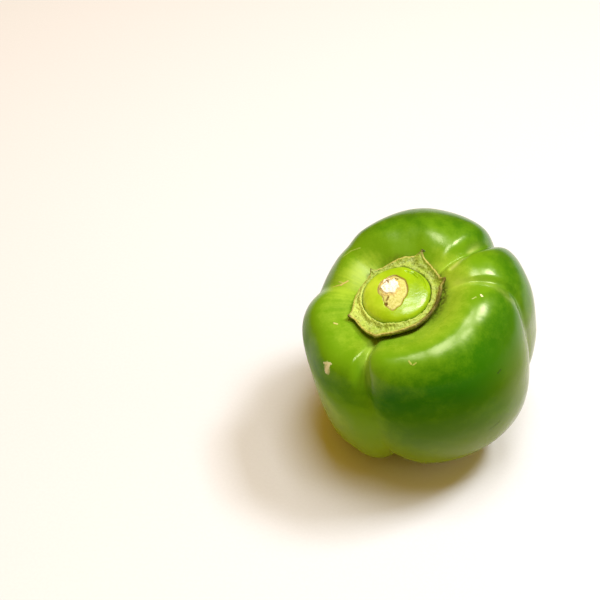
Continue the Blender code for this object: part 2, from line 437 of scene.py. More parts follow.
    def reach(self, directions: np.ndarray, furrowed: bool = True) -> np.ndarray:
        """How far the skin is from the fruit's middle.

        Args:
            directions: unit directions in the pepper's own frame.
            furrowed: whether the furrows are cut.

        Returns:
            The distance along each direction.
        """
        across = np.hypot(directions[:, 0], directions[:, 1])
        azimuth = np.degrees(np.arctan2(directions[:, 1], directions[:, 0]))
        plain = self.plain_reach(directions, azimuth, self.shoulder_at_axis * across)
        points = directions * plain[:, None]
        azimuth, off_axis = self.bent(points)
        reach = self.plain_reach(directions, azimuth, off_axis)
        if furrowed:
            level = np.clip(points[:, 2] / self.furrow_level, -1.0, 1.0)
            start = np.minimum(off_axis / self.furrow_start, 1.0)
            reach = reach * (1 - self.furrow_share(azimuth, level) * start)
        seated = np.exp(-((off_axis / self.lobe_value(azimuth, "seat")) ** self.seat_sharpness))
        floor = self.seat[2] / np.maximum(directions[:, 2], 0.3)
        above = reach + (floor - reach) * seated
        below = reach - self.dimple_depth * np.exp(-((off_axis / self.dimple_radius) ** 2))
        return np.where(directions[:, 2] > 0, above, below)

    def skin_height(self, x: np.ndarray, y: np.ndarray) -> np.ndarray:
        """The height of the unfurrowed skin over places near the stem end."""
        low = np.full(len(x), 0.010)
        high = np.full(len(x), 0.050)
        for _ in range(22):
            middle = (low + high) / 2
            points = np.column_stack([x, y, middle])
            length = np.linalg.norm(points, axis=1)
            inside = length < self.reach(points / length[:, None], furrowed=False)
            low = np.where(inside, middle, low)
            high = np.where(inside, high, middle)
        return (low + high) / 2


class Finish:
    """One material and the nodes that make it."""

    def __init__(self, name: str, roughness: float, specular: float) -> None:
        """Starts the material.

        Args:
            name: the material's name.
            roughness: the roughness, until a pattern drives it.
            specular: the shader's specular level.
        """
        self.material = bpy.data.materials.new(name)
        self.material.use_nodes = True
        self.tree = self.material.node_tree
        self.shader = self.tree.nodes["Principled BSDF"]
        self.shader.inputs["Roughness"].default_value = roughness
        self.shader.inputs["Specular IOR Level"].default_value = specular

    def add(self, kind: str, **settings: object) -> bpy.types.Node:
        """Adds a node and sets its properties."""
        node = self.tree.nodes.new(kind)
        for name, value in settings.items():
            setattr(node, name, value)
        return node

    def feed(self, socket: bpy.types.NodeSocket, value: object) -> None:
        """Links an output to a socket, or sets the socket to a plain value."""
        if isinstance(value, bpy.types.NodeSocket):
            self.tree.links.new(value, socket)
        elif isinstance(value, tuple) and socket.type == "RGBA":
            socket.default_value = (*value[:3], 1.0)
        else:
            socket.default_value = value

    def place(self) -> bpy.types.NodeSocket:
        """The place on the piece, in metres."""
        return self.add("ShaderNodeTexCoord").outputs["Object"]

    def read(self, name: str, vector: bool = False) -> bpy.types.NodeSocket:
        """One of the piece's own attributes."""
        return self.add("ShaderNodeAttribute", attribute_name=name).outputs["Vector" if vector else "Fac"]

    def grain(self, vector: object, scale: float, detail: float = 3.0, distortion: float = 0.0) -> object:
        """A noise pattern from 0 to 1 on a vector."""
        node = self.add("ShaderNodeTexNoise")
        self.feed(node.inputs["Vector"], vector)
        node.inputs["Scale"].default_value = scale
        node.inputs["Detail"].default_value = detail
        node.inputs["Distortion"].default_value = distortion
        return node.outputs["Fac"]

    def sum_of(self, operation: str, first: object, second: object) -> object:
        """A sum on two numbers, such as ADD or MINIMUM."""
        node = self.add("ShaderNodeMath", operation=operation)
        self.feed(node.inputs[0], first)
        self.feed(node.inputs[1], second)
        return node.outputs[0]

    def plus(self, first: object, second: object) -> object:
        """Two numbers added."""
        return self.sum_of("ADD", first, second)

    def times(self, first: object, second: object) -> object:
        """Two numbers multiplied."""
        return self.sum_of("MULTIPLY", first, second)

    def vector_sum(self, operation: str, first: object, second: object) -> bpy.types.Node:
        """A sum on two vectors, as the node, because its output depends on the sum."""
        node = self.add("ShaderNodeVectorMath", operation=operation)
        self.feed(node.inputs[0], first)
        self.feed(node.inputs[1], second)
        return node

    def ease(self, value: object, low: float, high: float, start: float = 0.0, end: float = 1.0) -> object:
        """Carries a value from one span to another with level ends."""
        node = self.add("ShaderNodeMapRange", interpolation_type="SMOOTHSTEP")
        self.feed(node.inputs["Value"], value)
        node.inputs["From Min"].default_value = low
        node.inputs["From Max"].default_value = high
        node.inputs["To Min"].default_value = start
        node.inputs["To Max"].default_value = end
        return node.outputs["Result"]

    def blend(self, share: object, first: object, second: object) -> object:
        """Mixes two colours by a share."""
        node = self.add("ShaderNodeMix", data_type="RGBA")
        self.feed(node.inputs[0], share)
        self.feed(node.inputs[6], first)
        self.feed(node.inputs[7], second)
        return node.outputs[2]

    def covered(self, colour: object, *layers: tuple[object, object]) -> object:
        """A colour with layers over it, each a share and a colour, from the lowest up."""
        for share, over in layers:
            colour = self.blend(share, colour, over)
        return colour

    def relief(self, *layers: tuple[object, float]) -> object:
        """Bumps over each other, each a height and the distance that a height of 1 stands for."""
        normal = None
        for height, distance in layers:
            node = self.add("ShaderNodeBump")
            node.inputs["Distance"].default_value = distance
            self.feed(node.inputs["Height"], height)
            if normal is not None:
                self.feed(node.inputs["Normal"], normal)
            normal = node.outputs["Normal"]
        return normal

    def near_line(self, place: object, start: Vector, end: Vector, half_width: float) -> object:
        """How near a place is to a short line.

        Args:
            place: the place, as a vector output.
            start: one end of the line.
            end: its other end.
            half_width: the distance that counts as 1.

        Returns:
            The distance as an output, 0 on the line and 1 at its half width.
        """
        middle = (start + end) / 2
        way = end - start
        half_length = max(way.length / 2, 1e-6)
        way = way.normalized() if way.length > 1e-6 else Vector((1, 0, 0))
        offset = self.vector_sum("SUBTRACT", place, tuple(middle)).outputs["Vector"]
        along = self.vector_sum("DOT_PRODUCT", offset, tuple(way)).outputs["Value"]
        held = self.sum_of("MINIMUM", self.sum_of("MAXIMUM", along, -half_length), half_length)
        scaled = self.add("ShaderNodeVectorMath", operation="SCALE")
        scaled.inputs[0].default_value = tuple(way)
        self.feed(scaled.inputs["Scale"], held)
        gap = self.vector_sum("DISTANCE", offset, scaled.outputs["Vector"]).outputs["Value"]
        return self.sum_of("DIVIDE", gap, half_width)

    def wear(self, colour: object = None, roughness: object = None, normal: object = None) -> None:
        """Sets what the shader takes from the patterns."""
        if colour is not None:
            self.feed(self.shader.inputs["Base Color"], colour)
        if roughness is not None:
            self.feed(self.shader.inputs["Roughness"], roughness)
        if normal is not None:
            self.feed(self.shader.inputs["Normal"], normal)


def finish_mesh(
    name: str, mesh: bpy.types.Mesh, material: bpy.types.Material
) -> bpy.types.Object:
    """Makes the object of a finished mesh, and lets it ride on the frame.

    Args:
        name: the piece's name.
        mesh: the mesh, already in its place.
        material: what the piece is dressed in.

    Returns:
        The piece.
    """
    mesh.materials.clear()
    mesh.materials.append(material)
    mesh.shade_smooth()
    piece = bpy.data.objects.new(name, mesh)
    bpy.context.scene.collection.objects.link(piece)
    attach(piece, Body.ROOT.value)
    return piece


def read_points(mesh: bpy.types.Mesh) -> np.ndarray:
    """The places of a mesh's vertices, one row each."""
    points = np.empty(len(mesh.vertices) * 3)
    mesh.vertices.foreach_get("co", points)
    return points.reshape(-1, 3)


def write_points(mesh: bpy.types.Mesh, points: np.ndarray) -> None:
    """Moves a mesh's vertices."""
    mesh.vertices.foreach_set("co", points.astype(np.float32).ravel())
    mesh.update()


def write_values(mesh: bpy.types.Mesh, name: str, values: np.ndarray) -> None:
    """Keeps a number or a vector for each vertex under a name."""
    vector = values.ndim == 2
    layer = mesh.attributes.new(name, "FLOAT_VECTOR" if vector else "FLOAT", "POINT")
    layer.data.foreach_set("vector" if vector else "value", values.astype(np.float32).ravel())


def spun_lens(name: str, rings_out: int, rings_back: int, segments: int) -> bpy.types.Mesh:
    """A closed lens of unit radius, with its rings crowded towards the edge.

    Args:
        name: the mesh's name.
        rings_out: the rings on the top, which is at height 1.
        rings_back: the rings on the underside, at height 0.
        segments: the steps round the lens.

    Returns:
        The mesh.
    """
    builder = bmesh.new()
    outward = [(math.sin(math.pi / 2 * ring / rings_out), 0, 1) for ring in range(rings_out + 1)]
    homeward = [(math.sin(math.pi / 2 * ring / rings_back), 0, 0) for ring in range(rings_back, -1, -1)]
    line = [builder.verts.new(place) for place in outward + homeward]
    edges = [builder.edges.new(pair) for pair in zip(line, line[1:])]
    bmesh.ops.spin(
        builder,
        geom=line + edges,
        cent=(0, 0, 0),
        axis=(0, 0, 1),
        angle=math.tau,
        steps=segments,
        use_merge=True,
    )
    bmesh.ops.remove_doubles(builder, verts=builder.verts, dist=1e-5)
    bmesh.ops.recalc_face_normals(builder, faces=builder.faces)
    mesh = bpy.data.meshes.new(name)
    builder.to_mesh(mesh)
    builder.free()
    return mesh


@dataclass(frozen=True)
class Blemish:
    """A small mark on the skin, drawn as a short ragged line."""

    start: Pixel
    end: Pixel
    half_width: float
    colour: Colour
    strength: float
    ragged: float = 0.00018


@dataclass(frozen=True)
class SkinFinish:
    """The waxy skin: greens that change over the fruit, fine streaks, and small marks."""

    deep: Colour = (0.018, 0.125, 0.001)
    middle: Colour = (0.115, 0.275, 0.004)
    bright: Colour = (0.300, 0.480, 0.030)
    # The olive colour is painted warm floor bounce, laid on low down and along the right flank.
    painted_bounce: Colour = (0.225, 0.265, 0.003)
    pale: Colour = (0.560, 0.660, 0.180)
    brown: Colour = (0.060, 0.050, 0.008)
    roughness: float = 0.21
    specular: float = 0.42
    gloss: Colour = (1.0, 0.98, 0.62)
    # The low gloss tint is a painted warm reflection: it colours the mirrored floor brown where the skin
    # shines little.
    painted_warm_reflection: Colour = (0.90, 0.74, 0.22)
    streak_scale: float = 19.0
    cloud_scale: float = 55.0
    dent_scale: float = 130.0
    mottle_scale: float = 260.0
    speckle_scale: float = 900.0
    ragged_scale: float = 1400.0
    fine_scale: float = 1500.0
    dent_depth: float = 0.00008
    mottle_depth: float = 0.00003
    fine_depth: float = 0.00001
    streak_depth: float = 0.00004
    mark_depth: float = 0.00015
    streak_roughness: float = 0.18
    mark_roughness: float = 0.35
    blemishes: tuple[Blemish, ...] = (
        Blemish((333, 287), (340, 285), 0.00022, (0.50, 0.42, 0.12), 0.6),
        Blemish((341, 285), (348, 281), 0.00030, (0.56, 0.44, 0.16), 0.8),
        Blemish((339, 282), (344, 283), 0.00020, (0.50, 0.46, 0.14), 0.6),
        Blemish((327, 365), (327, 371), 0.00125, (0.46, 0.50, 0.24), 0.85, 0.00030),
        Blemish((329, 364), (326, 372), 0.00065, (0.62, 0.62, 0.40), 0.9, 0.00030),
        Blemish((324, 363), (331, 364), 0.00035, (0.58, 0.58, 0.34), 0.8),
        Blemish((409, 361), (411, 364), 0.00028, (0.46, 0.46, 0.10), 0.6),
        Blemish((413, 365), (416, 363), 0.00020, (0.46, 0.46, 0.10), 0.5),
        Blemish((481, 295), (482, 296), 0.00040, (0.80, 0.80, 0.50), 0.9),
        Blemish((472, 299), (476, 297), 0.00022, (0.56, 0.64, 0.24), 0.5),
        Blemish((334, 323), (337, 324), 0.00032, (0.58, 0.52, 0.20), 0.8),
        Blemish((343, 257), (351, 251), 0.00022, (0.50, 0.62, 0.14), 0.35),
        Blemish((351, 251), (360, 248), 0.00022, (0.50, 0.62, 0.14), 0.35),
        # A dark mark where the skin has a small dimple: painted shade.
        Blemish((498, 373), (501, 369), 0.00030, (0.03, 0.06, 0.01), 0.7),
        Blemish((490, 430), (500, 421), 0.00030, (0.05, 0.08, 0.02), 0.5),
        Blemish((422, 250), (424, 251), 0.00035, (0.03, 0.03, 0.01), 0.8),
    )

    def build(self, view: PhotoView, tree: BVHTree) -> bpy.types.Material:
        """Builds the material.

        Args:
            view: the camera, which carries the marks' pixels onto the skin.
            tree: the skin's surface.

        Returns:
            The material.
        """
        finish = Finish(Slot.SKIN.value, self.roughness, self.specular)
        place = finish.place()
        grain = finish.read("grain", vector=True)
        streaks = finish.grain(grain, self.streak_scale, 4.0)
        mottle = finish.grain(place, self.mottle_scale, 3.0)
        fine = finish.grain(place, self.fine_scale, 2.0)
        cloud = finish.grain(place, self.cloud_scale, 2.0)
        streaked = finish.read("streaked")
        tone = finish.read("tone")
        for pattern, change in ((cloud, 0.07), (mottle, 0.05), (fine, 0.025)):
            tone = finish.plus(tone, finish.ease(pattern, 0.3, 0.7, -change, change))
        wave = finish.ease(streaks, 0.35, 0.65, -0.04, 0.06)
        tone = finish.plus(tone, finish.times(wave, streaked))
        speckle = finish.grain(place, self.speckle_scale, 2.0)
        colour = finish.covered(
            self.deep,
            (finish.ease(tone, 0.0, 0.5), self.middle),
            (finish.ease(tone, 0.5, 1.0), self.bright),
            # The olive layer is painted warm floor bounce.
            (finish.read("painted_bounce"), self.painted_bounce),
            (finish.times(finish.read("pale"), finish.ease(mottle, 0.25, 0.6, 0.5, 1.0)), self.pale),
            # Brown ring round the calyx: partly cork, partly painted shade under the calyx rim.
            (finish.times(finish.read("cork_and_shade"), finish.ease(speckle, 0.40, 0.60, 0.35, 1.0)), self.brown),
        )
        wobble = finish.add("ShaderNodeTexNoise")
        finish.feed(wobble.inputs["Vector"], place)
        wobble.inputs["Scale"].default_value = self.ragged_scale
        wobble.inputs["Detail"].default_value = 2.0
        centred = finish.vector_sum("SUBTRACT", wobble.outputs["Color"], (0.5, 0.5, 0.5)).outputs["Vector"]
        marks = None
        for mark in self.blemishes:
            shift = finish.add("ShaderNodeVectorMath", operation="SCALE")
            finish.feed(shift.inputs[0], centred)
            shift.inputs["Scale"].default_value = mark.ragged * 3
            moved = finish.vector_sum("ADD", place, shift.outputs["Vector"]).outputs["Vector"]
            ends = view.cast(tree, mark.start), view.cast(tree, mark.end)
            gap = finish.near_line(moved, *ends, mark.half_width)
            cover = finish.ease(gap, 0.7, 1.3, mark.strength, 0.0)
            colour = finish.blend(cover, colour, mark.colour)
            marks = cover if marks is None else finish.sum_of("MAXIMUM", marks, cover)
        roughness = finish.ease(mottle, 0.3, 0.7, self.roughness - 0.03, self.roughness + 0.04)
        for share, more in ((marks, self.mark_roughness), (streaked, self.streak_roughness)):
            roughness = finish.plus(roughness, finish.times(share, more))
        normal = finish.relief(
            (finish.grain(place, self.dent_scale, 3.0), self.dent_depth),
            (mottle, self.mottle_depth),
            (fine, self.fine_depth),
            (finish.times(streaks, streaked), self.streak_depth),
            (marks, self.mark_depth),
        )
        gleam = finish.read("gleam")
        level = finish.times(gleam, self.specular)
        finish.feed(finish.shader.inputs["Specular IOR Level"], level)
        # Specular tint: painted warm reflection where the skin shines little, the plain gloss tint elsewhere.
        finish.feed(finish.shader.inputs["Specular Tint"], finish.blend(gleam, self.painted_warm_reflection, self.gloss))
        finish.wear(colour, roughness, normal)
        return finish.material


@dataclass(frozen=True)
class SkinTones:
    """Where the skin is lighter, streaked, shiny and corky, and where painted bounce, light and shade lie on
    it.

    A level is 1 at the shoulder and -1 at the foot. The ramps named near, inner and ring are distances from
    the calyx's middle. A tone is what its part adds, and a value named less is what it takes away again.
    """

    near: Ramp = Ramp(0.034, 0.016)
    inner: Ramp = Ramp(0.042, 0.024)
    ring: Ramp = Ramp(0.0192, 0.0162)
    top: Ramp = Ramp(0.25, 0.85)
    left: Side = Side(205, 75)
    left_rise: Ramp = Ramp(-1.0, 0.2)
    left_foot: Ramp = Ramp(0.6, -0.1)
    back: Side = Side(80, 50)
    back_left: Side = Side(140, 35)
    right: Side = Side(12, 28)
    streaked_side: Side = Side(160, 90)
    cork_and_shade_side: Side = Side(20, 85, 1.3)
    flank: Side = Side(335, 55)
    flank_level: Ramp = Ramp(0.85, 0.05)
    half_way: Ramp = Ramp(0.70, 0.0)
    foot: Ramp = Ramp(0.10, -0.70)
    shaded: Side = Side(238, 40, 2.7)
    lower: Ramp = Ramp(0.85, 0.25)
    girdle_top: Ramp = Ramp(0.90, 0.55)
    girdle_foot: Ramp = Ramp(-0.15, 0.35)
    full_furrow: float = 0.2
    grain_stretch: float = 8.0
    least_tone: float = 0.04
    inner_tone: float = 0.46
    inner_less_back: float = 0.34
    inner_less_left: float = 0.16
    near_tone: float = 0.32
    near_less_left: float = 0.26
    # Painted light on the left side, most of it low down.
    left_rise_painted_light: float = 0.22
    left_foot_painted_light: float = 0.55
    back_left_tone: float = 0.05
    right_tone: float = 0.10
    furrow_tone: float = 0.30
    streaks_elsewhere: float = 0.45
    half_way_painted_bounce: float = 0.20
    foot_painted_bounce: float = 0.45
    flank_painted_bounce: float = 0.5
    shaded_loss: float = 0.89
    girdle_loss: float = 0.95
    cork: float = 0.9

    def tone(self, level: np.ndarray, azimuth: np.ndarray, near: np.ndarray, inner: np.ndarray) -> np.ndarray:
        """How light the green is between the furrows, from 0 to about 1."""
        left = self.left.share(azimuth)
        inside = self.inner_tone - self.inner_less_back * self.back.share(azimuth)
        inside -= self.inner_less_left * left
        tone = self.least_tone + inside * inner
        tone += (self.near_tone - self.near_less_left * left) * near
        # On the left the green is painted lighter, most of all low down: painted light.
        painted_left_light = self.left_rise_painted_light * self.left_rise.share(level)
        tone += left * (painted_left_light + self.left_foot_painted_light * self.left_foot.share(level))
        lighter = self.back_left_tone * self.back_left.share(azimuth)
        lighter += self.right_tone * self.right.share(azimuth)
        return tone + lighter * self.top.share(level)

    def painted_bounce(self, level: np.ndarray, azimuth: np.ndarray) -> np.ndarray:
        """Painted warm floor bounce, laid on as an olive colour: most at the foot and along the right flank.
        """
        low = self.half_way_painted_bounce * self.half_way.share(level) + self.foot_painted_bounce * self.foot.share(level)
        return np.maximum(low, self.flank_painted_bounce * self.flank.share(azimuth) * self.flank_level.share(level))

    def gleam(self, level: np.ndarray, azimuth: np.ndarray) -> np.ndarray:
        """How much the skin shines: little low down on the front and the left, and least half way up."""
        shaded = self.shaded.share(azimuth)
        girdle = shaded * self.girdle_top.share(level) * self.girdle_foot.share(level)
        return (1 - self.shaded_loss * shaded * self.lower.share(level)) * (1 - self.girdle_loss * girdle)

    def values(
        self, form: FruitForm, points: np.ndarray, azimuth: np.ndarray, from_seat: np.ndarray
    ) -> dict[str, np.ndarray]:
        """What the skin's colours read.

        Args:
            form: the fruit's form.
            points: the skin's places in the pepper's own frame.
            azimuth: their azimuths round the bent axis.
            from_seat: their distances from the calyx's middle.

        Returns:
            The values at each place, by name.
        """
        level = np.clip(points[:, 2] / form.furrow_level, -1.0, 1.0)
        above = points[:, 2] > 0
        near = np.where(above, self.near.share(from_seat), 0.0)
        inner = np.where(above, self.inner.share(from_seat), 0.0) * self.top.share(level)
        ring = np.where(above, self.ring.share(from_seat), 0.0)
        furrow = np.clip(form.furrow_share(azimuth, level) / self.full_furrow, 0.0, 1.0)
        turn = np.radians(azimuth)
        elsewhere = self.streaks_elsewhere
        return {
            "grain": np.column_stack([np.cos(turn), np.sin(turn), points[:, 2] * self.grain_stretch]),
            "tone": self.tone(level, azimuth, near, inner) + self.furrow_tone * furrow,
            "streaked": near * (elsewhere + (1 - elsewhere) * self.streaked_side.share(azimuth)),
            "painted_bounce": self.painted_bounce(level, azimuth),
            "gleam": self.gleam(level, azimuth),
            # The corky ring is partly cork and partly painted shade under the calyx rim.
            "cork_and_shade": self.cork * ring * self.cork_and_shade_side.share(azimuth),
        }


@dataclass
class Fruit:
    """The lobed fruit with its creased, waxy skin."""

    view: PhotoView
    stance: Stance
    form: FruitForm
    finish: SkinFinish = field(default_factory=SkinFinish)
    tones: SkinTones = field(default_factory=SkinTones)
    segments: int = 360
    rings: int = 240
    lump_height: float = 0.00018
    lump_spacing: float = 0.018
    clear_of_calyx: Ramp = Ramp(0.017, 0.023)
    flute_height: float = 0.00003
    flute_spacing: float = 0.09
    flute_stretch: float = 6.0
    flutes_elsewhere: float = 0.35
    fluted: Ramp = Ramp(0.036, 0.022)
    fluted_side: Side = Side(185, 80)
    crease_start: Ramp = Ramp(0.0, 0.12)
    crease_end: Ramp = Ramp(1.0, 0.75)
    creases: tuple[Crease, ...] = (
        Crease(
            path=((448, 270), (456, 263), (465, 254), (473, 247), (490, 243)),
            half_width=0.0014, depth=0.0010, pale=0.55, pale_width=0.0010,
        ),
        Crease(
            path=((450, 285), (464, 282), (481, 283), (495, 288), (507, 298), (522, 321)),
            half_width=0.0018, depth=0.0003, pale=0.15, pale_width=0.0018,
        ),
        Crease(
            path=((378, 338), (371, 352), (368, 362), (370, 378), (374, 398)),
            half_width=0.0020, depth=0.0011, pale=0.18, pale_width=0.0026,
        ),
    )
    swellings: tuple[Swelling, ...] = (
        Swelling((450, 238), radius=0.0100, height=-0.0020),
        Swelling((432, 228), radius=0.0100, height=0.0016),
        Swelling((466, 226), radius=0.0080, height=0.0008),
        Swelling((502, 286), radius=0.0100, height=0.0012),
        Swelling((482, 328), radius=0.0090, height=0.0008),
    )

    def build(self) -> bpy.types.Object:
        """Builds the fruit and returns it."""
        builder = bmesh.new()
        bmesh.ops.create_uvsphere(builder, u_segments=self.segments, v_segments=self.rings, radius=1.0)
        mesh = bpy.data.meshes.new("pepper_fruit")
        builder.to_mesh(mesh)
        builder.free()
        directions = read_points(mesh)
        directions /= np.linalg.norm(directions, axis=1)[:, None]
        reach = self.form.reach(directions)
        points = directions * reach[:, None]
        azimuth, off_axis = self.form.bent(points)
        from_seat = np.hypot(points[:, 0] - self.form.seat[0], points[:, 1] - self.form.seat[1])
        clear = np.where(points[:, 2] > 0, self.clear_of_calyx.share(from_seat), 1.0)
        reach = reach + self.relief(points, azimuth, from_seat) * clear
        placed = self.stance.to_world(directions * reach[:, None])
        pressed, pale = self.press_creases(placed)
        placed = self.stance.on_floor(self.stance.to_world(directions * (reach - pressed)[:, None]))
        write_points(mesh, placed)
        write_values(mesh, "pale", pale)
        for name, value in self.tones.values(self.form, points, azimuth, from_seat).items():
            write_values(mesh, name, value)
        faces = [tuple(face.vertices) for face in mesh.polygons]
        tree = BVHTree.FromPolygons([tuple(place) for place in placed], faces)
        piece = finish_mesh("pepper_fruit", mesh, self.finish.build(self.view, tree))
        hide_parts(Node.FRUIT.value)
        return piece

    def relief(self, points: np.ndarray, azimuth: np.ndarray, from_seat: np.ndarray) -> np.ndarray:
        """The gentle lumps of the skin, and the flutes that run out from under the calyx."""
        lumpy = lumps(points, self.lump_spacing, 3.0) * self.lump_height
        turn = np.radians(azimuth)
        round_vector = np.column_stack([np.cos(turn), np.sin(turn), points[:, 2] * self.flute_stretch])
        flutes = lumps(round_vector, self.flute_spacing, 8.0) * self.flute_height
        near = np.where(points[:, 2] > 0, self.fluted.share(from_seat), 0.0)
        elsewhere = self.flutes_elsewhere
        return lumpy + flutes * near * (elsewhere + (1 - elsewhere) * self.fluted_side.share(azimuth))

    def press_creases(self, placed: np.ndarray) -> tuple[np.ndarray, np.ndarray]:
        """How deep the creases press the skin in, and how pale the tissue along them is."""
        surface = BVHTree.FromObject(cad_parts[Node.FRUIT.value], bpy.context.evaluated_depsgraph_get())
        pressed = np.zeros(len(placed))
        pale = np.zeros(len(placed))
        for crease in self.creases:
            path = np.array([self.view.cast(surface, pixel) for pixel in crease.path])
            gap, along = line_distance(placed, path)
            fade = self.crease_start.share(along) * self.crease_end.share(along)
            pressed = np.maximum(pressed, crease.depth * fade * bell(gap, crease.half_width))
            pale = np.maximum(pale, crease.pale * fade * bell(gap, crease.pale_width))
        for swelling in self.swellings:
            gap = np.linalg.norm(placed - np.array(self.view.cast(surface, swelling.pixel)), axis=1)
            pressed -= swelling.height * bell(gap, swelling.radius)
        return pressed, pale


@dataclass(frozen=True)
class Tooth:
    """One pointed end of the calyx, and how far its rim stands off the skin there."""

    azimuth: float
    radius: float
    lift: float
    point: float
    rim: float


@dataclass(frozen=True)
class CalyxFinish:
    """The calyx's dry, wrinkled green, with its tan rim, and brown outer wall partly painted as shade."""

    flesh: Colour = (0.230, 0.350, 0.025)
    grey: Colour = (0.270, 0.360, 0.100)
    yellow: Colour = (0.500, 0.620, 0.120)
    rim: Colour = (0.460, 0.430, 0.100)
    brown: Colour = (0.050, 0.034, 0.003)
    tip: Colour = (0.110, 0.070, 0.015)
    shade: Colour = (0.12, 0.22, 0.02)
    roughness: float = 0.50
    specular: float = 0.25
    patch_scale: float = 320.0
    web_scale: float = 620.0
    fine_scale: float = 1100.0
    patch_depth: float = 0.0007
    fine_depth: float = 0.00035
    vein_depth: float = 0.0001

    def build(self) -> bpy.types.Material:
        """Builds the material and returns it."""
        finish = Finish(Slot.CALYX.value, self.roughness, self.specular)
        place = finish.place()
        patch = finish.grain(place, self.patch_scale, 4.0, 0.6)
        fine = finish.grain(place, self.fine_scale, 4.0, 0.5)
        web = finish.add("ShaderNodeTexVoronoi", feature="DISTANCE_TO_EDGE")
        finish.feed(web.inputs["Vector"], place)
        web.inputs["Scale"].default_value = self.web_scale
        veins = finish.ease(web.outputs["Distance"], 0.0, 0.25, 1.0, 0.0)
        colour = finish.covered(
            self.flesh,
            (finish.ease(patch, 0.35, 0.65), self.grey),
            (finish.times(finish.read("yellow"), finish.ease(fine, 0.25, 0.6, 0.6, 1.0)), self.yellow),
            (finish.ease(fine, 0.50, 0.72, 0.0, 0.55), self.yellow),
            (finish.ease(fine, 0.46, 0.28, 0.0, 0.45), self.shade),
            (finish.times(veins, 0.18), self.yellow),
            (finish.times(finish.read("rim"), finish.ease(fine, 0.3, 0.6, 0.4, 1.0)), self.rim),
            # Brown on the outer wall: partly the wall's own colour, partly painted shade under the rim.
            (finish.times(finish.read("wall_and_shade"), finish.ease(patch, 0.3, 0.7, 0.7, 1.0)), self.brown),
            (finish.read("tip"), self.tip),
        )
        normal = finish.relief((patch, self.patch_depth), (fine, self.fine_depth), (veins, self.vein_depth))
        roughness = finish.ease(fine, 0.3, 0.7, self.roughness - 0.12, self.roughness + 0.12)
        finish.wear(colour, roughness, normal)
        return finish.material


